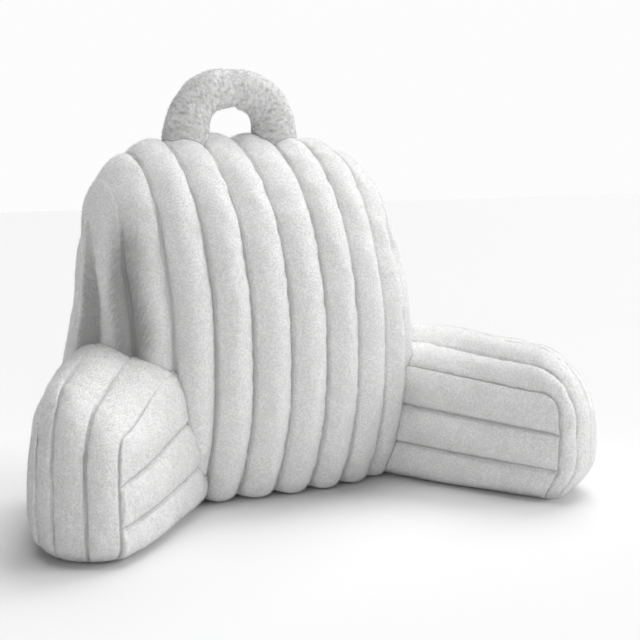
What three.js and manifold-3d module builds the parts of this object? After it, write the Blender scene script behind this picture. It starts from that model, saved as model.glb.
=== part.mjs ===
// Channel-quilted plush backrest cushion with two arms and a carry handle, standing on its base.
// Millimetres, +X to the sitter's left seen from the front, -Y to the front, +Z up.
import * as THREE from "three";
import Module from "manifold-3d";

// Gap between two sewn pieces
const GAP = 0.45;

// Middle of the flat underside of the backrest, behind the front bulge: the part's own origin
const ORIGIN_DEPTH = 162;

// Backrest: seam loops run up the front, over the top and down the back
const RIB_COUNT = 10;
const RIB_HEIGHT_FRONT = 13;
const RIB_HEIGHT_BACK = 9;
const BACKREST_HEIGHT = 450;
const SIDE_PANEL_PUFF = 9;
const CROWN_SHARE = 0.56;
const RIB_STEPS = [0, 0.1, 0.3, 0.5, 0.7, 0.9];
const BACKREST_ROWS = 19;
const BACKREST_COLUMNS = 8;

// One row per seam from the middle outwards: place across, shift in depth at the front, top and back,
// and height of the top
const BACKREST_SEAMS = [
  { seam: 0, across: 0, front: 0, crown: 0, back: 0, top: 450 },
  { seam: 1, across: 50, front: 3, crown: -1, back: -1, top: 450 },
  { seam: 2, across: 97, front: 9, crown: -4, back: -5, top: 447 },
  { seam: 3, across: 143, front: 26, crown: -10, back: -14, top: 433 },
  { seam: 4, across: 184, front: 50, crown: -18, back: -33, top: 403 },
];

// Middle seam seen from the side: share of the loop, depth from the front bulge, height
const BACKREST_PROFILE = [
  { share: 0.0, depth: 92, height: 0 },
  { share: 0.03, depth: 70, height: 14 },
  { share: 0.07, depth: 46, height: 38 },
  { share: 0.13, depth: 21, height: 76 },
  { share: 0.2, depth: 5, height: 126 },
  { share: 0.27, depth: 0, height: 189 },
  { share: 0.33, depth: 4, height: 250 },
  { share: 0.39, depth: 21, height: 311 },
  { share: 0.44, depth: 45, height: 362 },
  { share: 0.48, depth: 82, height: 403 },
  { share: 0.52, depth: 128, height: 434 },
  { share: 0.56, depth: 178, height: 450 },
  { share: 0.6, depth: 222, height: 430 },
  { share: 0.65, depth: 246, height: 386 },
  { share: 0.72, depth: 254, height: 310 },
  { share: 0.8, depth: 254, height: 210 },
  { share: 0.88, depth: 252, height: 110 },
  { share: 0.95, depth: 248, height: 32 },
  { share: 1.0, depth: 232, height: 0 },
];

// Outermost seam: front branch, shoulder point, then the gathered branch behind the side panel
const SIDE_SEAM = [
  { share: 0.0, across: 190, depth: 160, height: 0 },
  { share: 0.03, across: 196, depth: 141, height: 11 },
  { share: 0.07, across: 203, depth: 122, height: 30 },
  { share: 0.13, across: 207, depth: 108, height: 59 },
  { share: 0.2, across: 208, depth: 100, height: 98 },
  { share: 0.27, across: 208, depth: 96, height: 147 },
  { share: 0.33, across: 208, depth: 96, height: 194 },
  { share: 0.39, across: 208, depth: 101, height: 242 },
  { share: 0.44, across: 208, depth: 111, height: 281 },
  { share: 0.48, across: 207, depth: 125, height: 313 },
  { share: 0.52, across: 204, depth: 145, height: 337 },
  { share: 0.56, across: 200, depth: 168, height: 350 },
  { share: 0.6, across: 203, depth: 170, height: 335 },
  { share: 0.65, across: 209, depth: 161, height: 300 },
  { share: 0.72, across: 214, depth: 161, height: 241 },
  { share: 0.8, across: 219, depth: 184, height: 163 },
  { share: 0.88, across: 218, depth: 204, height: 86 },
  { share: 0.95, across: 208, depth: 208, height: 25 },
  { share: 1.0, across: 194, depth: 198, height: 0 },
];

// Arms: the same filled piece left and right, set at a little different angles
const ARM_SEAT = { across: 282, depth: -165 };
const ARM_LEFT = { side: -1, turn: 36, widening: 1.4, bend: 20 };
const ARM_RIGHT = { side: 1, turn: 22, widening: 1, bend: 84 };
const ARM_CHANNEL_HEIGHT = 9;
const ARM_PANEL_CHANNEL_HEIGHT = 11;
const ARM_INNER_FULLNESS = 12;
const ARM_OUTER_FULLNESS = 14;
const FLOOR_ROUNDING = 26;
const CHANNEL_STEPS = [0, 0.1, 0.32, 0.5, 0.68, 0.9];

// One row per seam round the arm, from the inner panel outwards
const ARM_SEAMS = [
  { seam: 0, offset: 0, widen: 0, front: 0, topFront: 138, topBack: 156, corner: 30, back: 285 },
  { seam: 1, offset: 37, widen: 14, front: -3, topFront: 164, topBack: 179, corner: 68, back: 300 },
  { seam: 2, offset: 76, widen: 26, front: 1, topFront: 177, topBack: 195, corner: 84, back: 322 },
  { seam: 3, offset: 104, widen: 38, front: 24, topFront: 160, topBack: 176, corner: 88, back: 335 },
];

// Seams across the inner panel: share of the panel's edge height at the front and back
const PANEL_ROWS = [
  { row: 0, front: 0, back: 0 },
  { row: 1, front: 0.32, back: 0.34 },
  { row: 2, front: 0.66, back: 0.67 },
  { row: 3, front: 1, back: 1 },
];
const ARM_COLUMNS = 12;

// Handle: an arched tube sewn to the top edge
const HANDLE_DEPTH = 171;
const HANDLE_HALF_SPAN = 63;
const HANDLE_FOOT_HEIGHT = 424;
const HANDLE_TOP_HEIGHT = 516;
const HANDLE_RADIUS_TOP = 26;
const HANDLE_RADIUS_FOOT = 36;
const HANDLE_THICKNESS_SHARE = 0.9;
const HANDLE_STEPS = 30;
const HANDLE_SIDES = 18;

const kernel = await Module();
kernel.setup();

const clamp = (value, low, high) => Math.min(high, Math.max(low, value));
const mix = (a, b, t) => a + (b - a) * t;

function smooth(value) {
  const t = clamp(value, 0, 1);
  return t * t * (3 - 2 * t);
}

// Smooth curve through one column of a table, read at a value of its key column.
function along(table, key, column, value) {
  const last = table.length - 1;
  let i = 0;
  while (i < last - 1 && value > table[i + 1][key]) i += 1;
  const slope = (j) => {
    const a = table[Math.max(0, j - 1)];
    const b = table[Math.min(last, j + 1)];
    return (b[column] - a[column]) / (b[key] - a[key]);
  };
  const from = table[i];
  const to = table[i + 1];
  const span = to[key] - from[key];
  const t = clamp((value - from[key]) / span, 0, 1);
  const t2 = t * t;
  const t3 = t2 * t;
  return (
    (2 * t3 - 3 * t2 + 1) * from[column] +
    (t3 - 2 * t2 + t) * span * slope(i) +
    (3 * t2 - 2 * t3) * to[column] +
    (t3 - t2) * span * slope(i + 1)
  );
}

// Round cross-section of one channel: 0 on both seams, 1 in the middle.
function puff(t) {
  const x = Math.abs(2 * t - 1);
  return Math.pow(Math.max(0, 1 - Math.pow(x, 2.2)), 0.62);
}

// Places of the grid lines when every channel has the same steps.
function channelLines(count, steps) {
  const lines = [];
  for (let c = 0; c < count; c += 1) {
    for (const step of steps) lines.push(c + step);
  }
  lines.push(count);
  return lines;
}

// A closed cushion on the floor. Loops run from the front floor line over the top to the back one.
// Both ends are closed by a panel of rows and columns, and the underside lies flat.
function cushion(shape) {
  const { lines, rows, columns } = shape;
  const loopLast = 2 * rows + columns;
  const points = [];
  const lifts = [];
  const faces = [];
  const grid = lines.map((line) => {
    const ids = [];
    for (let m = 0; m <= loopLast; m += 1) {
      points.push(shape.loopPoint(line, m));
      lifts.push(shape.loopLift(line, m));
      ids.push(points.length - 1);
    }
    return ids;
  });
  const quad = (a, b, c, d, turned) => {
    if (turned) faces.push([a, c, b], [a, d, c]);
    else faces.push([a, b, c], [a, c, d]);
  };
  for (let i = 0; i < lines.length - 1; i += 1) {
    for (let m = 0; m < loopLast; m += 1) {
      quad(grid[i][m], grid[i + 1][m], grid[i + 1][m + 1], grid[i][m + 1], false);
    }
  }
  const panel = (loop, side) => {
    const ids = [];
    for (let j = 0; j <= rows; j += 1) {
      const row = [];
      for (let k = 0; k <= columns; k += 1) {
        if (k === 0) row.push(loop[j]);
        else if (k === columns) row.push(loop[loopLast - j]);
        else if (j === rows) row.push(loop[rows + k]);
        else {
          points.push(shape.panelPoint(side, j, k));
          lifts.push(shape.panelLift(side, j, k));
          row.push(points.length - 1);
        }
      }
      ids.push(row);
    }
    for (let j = 0; j < rows; j += 1) {
      for (let k = 0; k < columns; k += 1) {
        quad(ids[j][k], ids[j][k + 1], ids[j + 1][k + 1], ids[j + 1][k], side === 0);
      }
    }
    return ids[0];
  };
  const first = panel(grid[0], 0);
  const final = panel(grid[grid.length - 1], 1);
  const under = grid.map((loop, i) => {
    if (i === 0) return first;
    if (i === grid.length - 1) return final;
    const row = [loop[0]];
    for (let k = 1; k < columns; k += 1) {
      const t = k / columns;
      const a = points[loop[0]];
      const b = points[loop[loopLast]];
      points.push(new THREE.Vector3(mix(a.x, b.x, t), mix(a.y, b.y, t), 0));
      lifts.push(0);
      row.push(points.length - 1);
    }
    row.push(loop[loopLast]);
    return row;
  });
  for (let i = 0; i < under.length - 1; i += 1) {
    for (let k = 0; k < columns; k += 1) {
      quad(under[i][k], under[i + 1][k], under[i + 1][k + 1], under[i][k + 1], true);
    }
  }
  return { points, lifts, faces };
}

// Direction of each triangle, its length in proportion to the area.
function faceNormals(points, faces) {
  return faces.map(([a, b, c]) => {
    const ab = new THREE.Vector3().subVectors(points[b], points[a]);
    return ab.cross(new THREE.Vector3().subVectors(points[c], points[a]));
  });
}

// Mean direction of the surface at each point.
function pointNormals(points, faces, normals) {
  const sums = points.map(() => new THREE.Vector3());
  faces.forEach((face, id) => face.forEach((corner) => sums[corner].add(normals[id])));
  return sums.map((sum) => sum.normalize());
}

// Lifts each point off its seam surface along the surface's own direction.
function lifted({ points, lifts, faces }) {
  const normals = pointNormals(points, faces, faceNormals(points, faces));
  return points.map((point, id) => {
    if (point.z <= 0) return point.clone();
    const moved = point.clone().addScaledVector(normals[id], lifts[id]);
    moved.z = Math.max(moved.z, 0.4);
    return moved;
  });
}

// The same surface moved out so far that every triangle stands off by the gap.
function stoodOff(points, faces, gap) {
  const triangles = faceNormals(points, faces);
  const normals = pointNormals(points, faces, triangles);
  const least = points.map(() => 1);
  faces.forEach((face, id) => {
    const direction = triangles[id].clone().normalize();
    for (const corner of face) {
      least[corner] = Math.min(least[corner], direction.dot(normals[corner]));
    }
  });
  return points.map((point, id) =>
    point.clone().addScaledVector(normals[id], gap / Math.max(least[id], 0.3)),
  );
}

// Makes a solid from points and triangles.
function solidOf(points, faces, flip) {
  const coordinates = new Float32Array(points.length * 3);
  points.forEach((point, id) => point.toArray(coordinates, id * 3));
  const corners = faces.flatMap(([a, b, c]) => (flip ? [a, c, b] : [a, b, c]));
  const mesh = new kernel.Mesh({
    numProp: 3,
    vertProperties: coordinates,
    triVerts: new Uint32Array(corners),
  });
  mesh.merge();
  return new kernel.Manifold(mesh);
}

// Backrest

const backrestLines = channelLines(RIB_COUNT, RIB_STEPS);

// Share of the seam loop at grid place m: rows up the front, columns over the top, rows down the back.
function backrestShare(m) {
  const frontTop = 0.515;
  const backTop = 0.605;
  const last = 2 * BACKREST_ROWS + BACKREST_COLUMNS;
  if (m <= BACKREST_ROWS) return (frontTop * m) / BACKREST_ROWS;
  if (m >= last - BACKREST_ROWS) {
    return 1 - ((1 - backTop) * (last - m)) / BACKREST_ROWS;
  }
  return mix(frontTop, backTop, (m - BACKREST_ROWS) / BACKREST_COLUMNS);
}

function sideSeamPoint(share) {
  const read = (column) => along(SIDE_SEAM, "share", column, share);
  return new THREE.Vector3(read("across"), read("depth"), Math.max(0, read("height")));
}

function backrestPoint(line, share) {
  const side = line - RIB_COUNT / 2;
  const seam = Math.min(Math.abs(side), RIB_COUNT / 2 - 1);
  const read = (column) => along(BACKREST_SEAMS, "seam", column, seam);
  const depth = along(BACKREST_PROFILE, "share", "depth", share);
  const rise = Math.max(0, along(BACKREST_PROFILE, "share", "height", share));
  const toCrown = smooth((share - 0.4) / 0.15);
  const toBack = smooth((share - CROWN_SHARE - 0.01) / 0.14);
  const forward = mix(read("front"), read("crown"), toCrown);
  const point = new THREE.Vector3(
    read("across"),
    depth + mix(forward, read("back"), toBack),
    (rise * read("top")) / BACKREST_HEIGHT,
  );
  point.lerp(sideSeamPoint(share), Math.abs(side) - seam);
  point.x *= Math.sign(side);
  return point;
}

function floorFade(height, reach) {
  return smooth(height / reach);
}

function backrestSolid(gap) {
  const loopLast = 2 * BACKREST_ROWS + BACKREST_COLUMNS;
  const endLoop = (side, m) => backrestPoint(side === 0 ? 0 : RIB_COUNT, backrestShare(m));
  const mesh = cushion({
    lines: backrestLines,
    rows: BACKREST_ROWS,
    columns: BACKREST_COLUMNS,
    loopPoint: (line, m) => {
      const point = backrestPoint(line, backrestShare(m));
      if (m === 0 || m === loopLast) point.z = 0;
      return point;
    },
    loopLift: (line, m) => {
      const share = backrestShare(m);
      const height = backrestPoint(line, share).z;
      const peak = mix(RIB_HEIGHT_FRONT, RIB_HEIGHT_BACK, smooth((share - 0.5) / 0.2));
      return peak * puff(line - Math.floor(line)) * floorFade(height, 48);
    },
    panelPoint: (side, j, k) => {
      const front = endLoop(side, j);
      const back = endLoop(side, loopLast - j);
      const t = k / BACKREST_COLUMNS;
      const point = front.lerp(back, t);
      if (j === 0) point.z = 0;
      const blend = smooth((j / BACKREST_ROWS - 0.75) / 0.25);
      const rim = endLoop(side, BACKREST_ROWS + k);
      const rimFlat = endLoop(side, BACKREST_ROWS).lerp(endLoop(side, BACKREST_ROWS + BACKREST_COLUMNS), t);
      return point.add(rim.sub(rimFlat).multiplyScalar(blend));
    },
    panelLift: (side, j, k) => {
      const t = k / BACKREST_COLUMNS;
      const height = endLoop(side, j).z;
      const rowFade = Math.sqrt(1 - Math.pow(j / BACKREST_ROWS, 4));
      return SIDE_PANEL_PUFF * puff(t) * rowFade * floorFade(height, 40);
    },
  });
  const points = lifted(mesh);
  return solidOf(gap > 0 ? stoodOff(points, mesh.faces, gap) : points, mesh.faces, false);
}

// Arms

const ARM_CHANNELS = ARM_SEAMS.length - 1;
const PANEL_CHANNELS = PANEL_ROWS.length - 1;
const armLines = channelLines(ARM_CHANNELS, CHANNEL_STEPS);
const panelLines = channelLines(PANEL_CHANNELS, CHANNEL_STEPS);
const ARM_ROWS = panelLines.length - 1;

// Seam loop of the arm in its own upright plane: run back from the front end, and height.
function armLoop(line, m) {
  const read = (column) => along(ARM_SEAMS, "seam", column, line);
  const front = read("front");
  const corner = read("corner");
  const back = read("back");
  const topAt = (run) => mix(read("topFront"), read("topBack"), clamp((run - 40) / 200, 0, 1));
  const arc = (reach) => corner - Math.sqrt(Math.max(0, corner * corner - reach * reach));
  const halfCorner = corner * (1 - Math.SQRT1_2);
  const last = 2 * ARM_ROWS + ARM_COLUMNS;
  if (m <= ARM_ROWS) {
    const topHeight = topAt(0) - halfCorner;
    const height = topHeight * along(PANEL_ROWS, "row", "front", panelLines[m]);
    const reach = Math.max(0, height - (topAt(0) - corner));
    return { run: front + arc(reach), height };
  }
  if (m >= last - ARM_ROWS) {
    const topHeight = topAt(back);
    const height = topHeight * along(PANEL_ROWS, "row", "back", panelLines[last - m]);
    return { run: back - 60 * Math.pow(height / topHeight, 4) * (line / ARM_CHANNELS), height };
  }
  const t = (m - ARM_ROWS) / ARM_COLUMNS;
  const start = front + halfCorner;
  const end = back - (60 * line) / ARM_CHANNELS;
  const run = mix(start, end, Math.pow(t, 1.35));
  const reach = Math.max(0, corner - (run - front));
  return { run, height: topAt(run) - arc(reach) };
}

// Place of an arm point before the arm is turned: x outwards, y back from the front end.
function armPoint(line, m, pose) {
  const { run, height } = armLoop(line, m);
  const offset = along(ARM_SEAMS, "seam", "offset", line);
  const widen = along(ARM_SEAMS, "seam", "widen", line);
  const rounding = Math.pow(1 - clamp(height / FLOOR_ROUNDING, 0, 1), 2);
  const pulled = rounding * mix(-2, 12, line / ARM_CHANNELS);
  return new THREE.Vector3(
    offset + widen * pose.widening * clamp(run / 300, 0, 1) - pulled,
    run + (run < 120 ? 12 : 0) * rounding,
    height,
  );
}

// Draws the back end of the arm in towards the backrest, most on its outer side.
function drawnIn(point, line, pose) {
  point.x -= (pose.bend * line) / ARM_CHANNELS * Math.pow(Math.max(0, point.y - 200) / 135, 2);
  return point;
}

function armSolid(pose) {
  const last = 2 * ARM_ROWS + ARM_COLUMNS;
  const endLoop = (side, m) => armPoint(side === 0 ? 0 : ARM_CHANNELS, m, pose);
  const mesh = cushion({
    lines: armLines,
    rows: ARM_ROWS,
    columns: ARM_COLUMNS,
    loopPoint: (line, m) => {
      const point = armPoint(line, m, pose);
      if (m === 0 || m === last) point.z = 0;
      return drawnIn(point, line, pose);
    },
    loopLift: (line, m) => {
      const point = armPoint(line, m, pose);
      return ARM_CHANNEL_HEIGHT * puff(line - Math.floor(line)) * floorFade(point.z, 45);
    },
    panelPoint: (side, j, k) => {
      const t = Math.pow(k / ARM_COLUMNS, 1.35);
      const front = endLoop(side, j);
      const back = endLoop(side, last - j);
      const point = front.lerp(back, t);
      const line = side === 0 ? 0 : ARM_CHANNELS;
      if (j === 0) {
        point.z = 0;
        return drawnIn(point, line, pose);
      }
      const rise = panelLines[j] / PANEL_CHANNELS;
      const rim = endLoop(side, ARM_ROWS + k);
      const rimFlat = endLoop(side, ARM_ROWS).lerp(endLoop(side, ARM_ROWS + ARM_COLUMNS), t);
      point.add(rim.sub(rimFlat).multiplyScalar(smooth((rise - 0.5) / 0.5)));
      const full = puff(0.5 + rise / 2) * puff(t / 2 + 0.02) * Math.pow(rise, 0.35);
      point.x += side === 0 ? -ARM_INNER_FULLNESS * full : ARM_OUTER_FULLNESS * full;
      return drawnIn(point, line, pose);
    },
    panelLift: (side, j, k) => {
      const t = k / ARM_COLUMNS;
      const height = panelLines[j] * 45;
      const ends = Math.pow(puff(clamp(t, 0, 0.5)), 0.7);
      if (side === 1) return 6 * ends * floorFade(height, 40) * puff(clamp(panelLines[j] / 3, 0.5, 1));
      return ARM_PANEL_CHANNEL_HEIGHT * puff(panelLines[j] % 1) * ends * floorFade(height, 30);
    },
  });
  const points = lifted(mesh);
  const angle = THREE.MathUtils.degToRad(pose.turn);
  for (const point of points) {
    const { x, y } = point;
    const across = ARM_SEAT.across + x * Math.cos(angle) - y * Math.sin(angle);
    point.x = pose.side * across;
    point.y = ARM_SEAT.depth + x * Math.sin(angle) + y * Math.cos(angle);
  }
  return solidOf(points, mesh.faces, pose.side < 0);
}

// Handle

function handleSolid() {
  const points = [];
  const faces = [];
  for (let i = 0; i <= HANDLE_STEPS; i += 1) {
    const t = i / HANDLE_STEPS;
    const swing = Math.PI * (1 - t);
    const foot = Math.pow(Math.abs(2 * t - 1), 3);
    const pinch = 1 - 0.06 * Math.exp(-Math.pow((t - 0.5) * 26, 2));
    const radius = mix(HANDLE_RADIUS_TOP, HANDLE_RADIUS_FOOT, foot) * pinch;
    const rise = HANDLE_TOP_HEIGHT - HANDLE_FOOT_HEIGHT;
    const centre = new THREE.Vector3(
      HANDLE_HALF_SPAN * Math.sign(Math.cos(swing)) * Math.pow(Math.abs(Math.cos(swing)), 0.8),
      HANDLE_DEPTH,
      HANDLE_FOOT_HEIGHT + rise * Math.pow(Math.sin(swing), 0.62),
    );
    const outward = new THREE.Vector3(Math.cos(swing), 0, Math.sin(swing));
    for (let s = 0; s < HANDLE_SIDES; s += 1) {
      const angle = (2 * Math.PI * s) / HANDLE_SIDES;
      points.push(
        centre
          .clone()
          .addScaledVector(outward, radius * Math.cos(angle))
          .add(new THREE.Vector3(0, radius * HANDLE_THICKNESS_SHARE * Math.sin(angle), 0)),
      );
    }
  }
  for (let i = 0; i < HANDLE_STEPS; i += 1) {
    for (let s = 0; s < HANDLE_SIDES; s += 1) {
      const next = (s + 1) % HANDLE_SIDES;
      const a = i * HANDLE_SIDES + s;
      const b = i * HANDLE_SIDES + next;
      faces.push([a, b + HANDLE_SIDES, b], [a, a + HANDLE_SIDES, b + HANDLE_SIDES]);
    }
  }
  for (const ring of [0, HANDLE_STEPS]) {
    const base = ring * HANDLE_SIDES;
    for (let s = 1; s < HANDLE_SIDES - 1; s += 1) {
      const fan = [base, base + s, base + s + 1];
      faces.push(ring === 0 ? fan : [fan[0], fan[2], fan[1]]);
    }
  }
  return solidOf(points, faces, false);
}

// The piece that stays outside the backrest, without the crumbs left in its grooves.
function trimmed(solid, cutter) {
  const bodies = solid.subtract(cutter).decompose();
  return bodies.reduce((best, body) => (body.volume() > best.volume() ? body : best));
}

// Turns a solid into a named mesh.
function pieceMesh(name, solid, colour) {
  const data = solid.getMesh();
  const geometry = new THREE.BufferGeometry();
  const stride = data.numProp;
  const coordinates = new Float32Array((data.vertProperties.length / stride) * 3);
  for (let i = 0; i < coordinates.length / 3; i += 1) {
    for (let c = 0; c < 3; c += 1) coordinates[i * 3 + c] = data.vertProperties[i * stride + c];
  }
  geometry.setAttribute("position", new THREE.BufferAttribute(coordinates, 3));
  geometry.setIndex(new THREE.BufferAttribute(data.triVerts, 1));
  const material = new THREE.MeshStandardMaterial({ color: colour, roughness: 0.95, metalness: 0 });
  const mesh = new THREE.Mesh(geometry, material);
  mesh.name = name;
  return mesh;
}

const backrest = backrestSolid(0);
const clearance = backrestSolid(GAP);
const armLeft = trimmed(armSolid(ARM_LEFT), clearance);
const armRight = trimmed(armSolid(ARM_RIGHT), clearance);
const handle = trimmed(handleSolid(), clearance);

const cushionGroup = new THREE.Group();
cushionGroup.name = "backrest_cushion";
cushionGroup.position.set(0, -ORIGIN_DEPTH, 0);
cushionGroup.add(pieceMesh("backrest", backrest, 0xd9d9d8));
cushionGroup.add(pieceMesh("arm_left", armLeft, 0xd6d6d5));
cushionGroup.add(pieceMesh("arm_right", armRight, 0xd6d6d5));
cushionGroup.add(pieceMesh("handle", handle, 0xd2d2d1));

export default cushionGroup;
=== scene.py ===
import math

import bmesh
import bpy
import numpy as np
from bpy.props import FloatProperty, FloatVectorProperty, IntProperty, PointerProperty
from mathutils import Matrix, Vector
from mathutils.bvhtree import BVHTree


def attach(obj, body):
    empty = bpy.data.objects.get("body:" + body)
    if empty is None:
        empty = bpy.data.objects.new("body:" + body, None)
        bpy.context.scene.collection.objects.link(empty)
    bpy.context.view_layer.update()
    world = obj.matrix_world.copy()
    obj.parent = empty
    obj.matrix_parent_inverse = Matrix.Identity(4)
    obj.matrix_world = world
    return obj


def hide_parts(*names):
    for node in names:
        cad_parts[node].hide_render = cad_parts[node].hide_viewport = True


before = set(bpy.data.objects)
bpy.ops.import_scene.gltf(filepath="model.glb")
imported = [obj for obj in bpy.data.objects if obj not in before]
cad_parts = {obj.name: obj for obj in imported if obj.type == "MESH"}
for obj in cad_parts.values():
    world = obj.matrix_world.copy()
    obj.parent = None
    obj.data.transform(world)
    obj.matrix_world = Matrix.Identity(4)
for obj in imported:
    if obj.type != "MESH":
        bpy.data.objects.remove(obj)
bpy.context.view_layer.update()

bl_info = {
    "name": "Channel-Quilted Backrest Cushion",
    "version": (1, 0, 0),
    "blender": (4, 5, 0),
    "location": "View3D > Sidebar > Cushion",
    "description": "A plush backrest cushion with sewn channels, two arms and a carry handle",
    "category": "Add Mesh",
}

MM = 0.001

# Distance from the front bulge of the backrest to the part's origin, in millimetres
ORIGIN_DEPTH = 162.0

# Backrest seams from the middle outwards, in millimetres
BACKREST_HEIGHT = 450.0
RIB_COUNT = 10
BACKREST_SEAM = [0, 1, 2, 3, 4]
BACKREST_ACROSS = [0, 50, 97, 143, 184]
BACKREST_FRONT = [0, 3, 9, 26, 50]
BACKREST_CROWN = [0, -1, -4, -10, -18]
BACKREST_BACK = [0, -1, -5, -14, -33]
BACKREST_TOP = [450, 450, 447, 433, 403]

# Middle seam and outermost seam: share of the loop, then place in millimetres
LOOP_SHARE = [0.0, 0.03, 0.07, 0.13, 0.2, 0.27, 0.33, 0.39, 0.44, 0.48,
              0.52, 0.56, 0.6, 0.65, 0.72, 0.8, 0.88, 0.95, 1.0]
MIDDLE_DEPTH = [124, 66, 38, 18, 4, 0, 4, 21, 45, 82, 128, 178, 222, 246, 254, 254, 252, 248, 232]
MIDDLE_HEIGHT = [0, 8, 35, 76, 126, 189, 250, 311, 362, 403, 434, 450, 430, 386, 310, 210, 110, 32, 0]
SIDE_ACROSS = [190, 196, 203, 207, 208, 208, 208, 208, 208, 207, 204, 200, 203, 210, 219, 232, 238, 232, 216]
SIDE_DEPTH = [160, 141, 122, 108, 100, 96, 96, 101, 111, 125, 145, 168, 170, 161, 161, 184, 204, 208, 198]
SIDE_HEIGHT = [0, 11, 30, 59, 98, 147, 194, 242, 281, 313, 337, 350, 335, 300, 241, 163, 86, 25, 0]

# Shares of a backrest loop: where a side panel's front edge ends and where its back edge starts
PANEL_FRONT_END = 0.515
PANEL_BACK_START = 0.605

# Ranges of a backrest loop over which a value changes, as start or end, then span
TO_CROWN = (0.4, 0.15)
TO_BACK = (0.57, 0.14)
TO_BACK_RIBS = (0.36, 0.16)

# Height in millimetres over which the ribs swell above the floor
RIB_FOOT = 16

# The outer ribs lie flatter over the shoulders
SHOULDER_FLATTENING = 0.45
SHOULDER_ACROSS = (2.6, 2)
SHOULDER_RISE = (0.4, 0.12)
SHOULDER_FALL = (0.72, 0.1)

# Over the left shoulder the outermost front seam is lost in the pile
LOST_SEAM = {"side": -4, "width": 0.5, "rise": (0.45, 0.04), "fall": (0.66, 0.06), "distance": 3}

# Painted shade in the hollow between the two outermost ribs on the left
LEFT_FOLD_SHADE = {"side": -4.12, "outer_width": 0.34, "inner_width": 0.7, "rise": (0.24, 0.08),
             "fall": (0.53, 0.14)}

# Arms: place of the front end, then how each arm is posed. The turn is in degrees. Bend, crown,
# channel, raise, toe, and the offset, widen and front of each seam are in millimetres.
ARM_ACROSS = 282.0
ARM_DEPTH = -165.0
# A pose also gives a share of painted shade over the whole arm; the left arm, which faces away from the
# light, gets some
ARM_POSES = {
    "arm_left": {"side": -1, "turn": 36, "widening": 1.4, "bend": 20, "crown": 31, "foot": 0.7,
                 "channel": 5.5, "raise": 20, "slack": 0.75, "nap": 0.29, "toe": 22,
                 "offset": [3, 37, 76, 97], "widen": [-3, 14, 26, 43], "front": [0, -11, -3, 22]},
    "arm_right": {"side": 1, "turn": 22, "widening": 1.0, "bend": 84, "crown": 13, "foot": 0.1,
                  "channel": 8, "raise": 0, "slack": 0.0, "nap": 0.0, "toe": 64,
                  "offset": [0, 20, 59, 104], "widen": [0, 31, 43, 38], "front": [0, -11, -6, 17]},
}

# Height in millimetres over which an arm rounds off at the floor
FLOOR_ROUNDING = 20.0

# Side panels: shares of their depth and height, a fade above the floor in millimetres, then shares
# of painted shade in the panels' hollows
REAR_FOLD_START = 0.6
REAR_FOLD_EDGE = (0.54, 0.16)
PANEL_EDGE = 0.16
PANEL_TOP = (0.75, 0.25)
PANEL_TOP_SHADE = (0.74, 0.26)
PANEL_FOOT = 40
LEFT_PANEL_SHADE = 1.0
RIGHT_PANEL_SHADE = 0.4
REAR_FOLD_SHADE = 0.2
PANEL_EDGE_SHADE = 0.3
PANEL_TOP_FADE = 0.65

# Arm seams from the inner panel outwards, in millimetres
ARM_SEAM = [0, 1, 2, 3]
ARM_TOP_FRONT = [138, 164, 177, 160]
ARM_TOP_BACK = [156, 179, 195, 176]
ARM_CORNER = [30, 68, 84, 88]
ARM_BACK = [285, 300, 322, 335]
PANEL_ROW = [0, 1, 2, 3]
PANEL_FRONT = [0, 0.32, 0.66, 1]
PANEL_BACK = [0, 0.34, 0.67, 1]
ARM_CHANNELS = len(ARM_SEAM) - 1
PANEL_CHANNELS = len(PANEL_ROW) - 1

# Along an arm from its front end, and its fades and tucks at the floor, all in millimetres
ARM_TOP_START = 40
ARM_TOP_RUN = 200
ARM_RAISE_RUN = (40, 150)
ARM_RAISE_HEIGHT = 160
ARM_WIDEN_RUN = 300
ARM_BEND_START = 200
ARM_BEND_RUN = 135
ARM_SLACK_RUN = (110, 110)
ARM_TAIL = 60
ARM_FOOT = 45
NOSE_RUN = 120
NOSE_TUCK = 32
FLOOR_TUCK = (-18, 14)

# Curves of an arm: how its grid crowds to the front, how its nose, foot and ends round off, how
# full a panel is at its front end, and where its top follows the loops
ARM_CROWDING = 1.35
NOSE_CURVE = 2.3
FOOT_CURVE = 0.35
END_CURVE = 0.7
FRONT_FULLNESS = 0.02
ARM_PANEL_TOP = (0.5, 0.5)

# Where an arm is slack: share of the panel, what is left of the channels, and the seams' loss in the pile
PANEL_SLACK = (0.25, 0.5)
SLACK_LEFT = 0.35
SLACK_SEAM = 2.2

# Arm panels in millimetres: a level's height, the fade above the floor, and ways to the seams
LEVEL_HEIGHT = 45
INNER_FOOT = 20
INNER_LEVEL = 50
INNER_LENGTH = 285
OUTER_FOOT = 40
OUTER_LEVEL = 55
OUTER_LENGTH = 335
OUTER_LIFT = 10

# Handle arch in millimetres
HANDLE_DEPTH = 171.0
HANDLE_HALF_SPAN = 63.0
HANDLE_FOOT_HEIGHT = 424.0
HANDLE_TOP_HEIGHT = 516.0

# Curves of the handle, its pinch all round and its tuck on the inside, by share of its length
ARCH_ACROSS_CURVE = 0.8
ARCH_HEIGHT_CURVE = 0.62
HANDLE_PINCH = {"at": 0.5, "width": 1 / 26, "depth": 0.05}
HANDLE_TUCK = {"at": 0.53, "width": 1 / 38, "depth": 0.14, "steepness": 1.2, "spread": 0.1}
# Painted shade over the handle: its mean, its random mottle with the mottle's scale and seed, how much less
# lies over the top, where light falls, and its limits
HANDLE_SHADE = {"mean": 0.46, "mottle": 0.26, "scale": 0.006, "seed": 91, "top": 0.12}
HANDLE_SHADE_LIMITS = (0.05, 0.9)

# The handle shows no seam, so its surface counts as this many millimetres from one
HANDLE_SEAM_DISTANCE = 60

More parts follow.
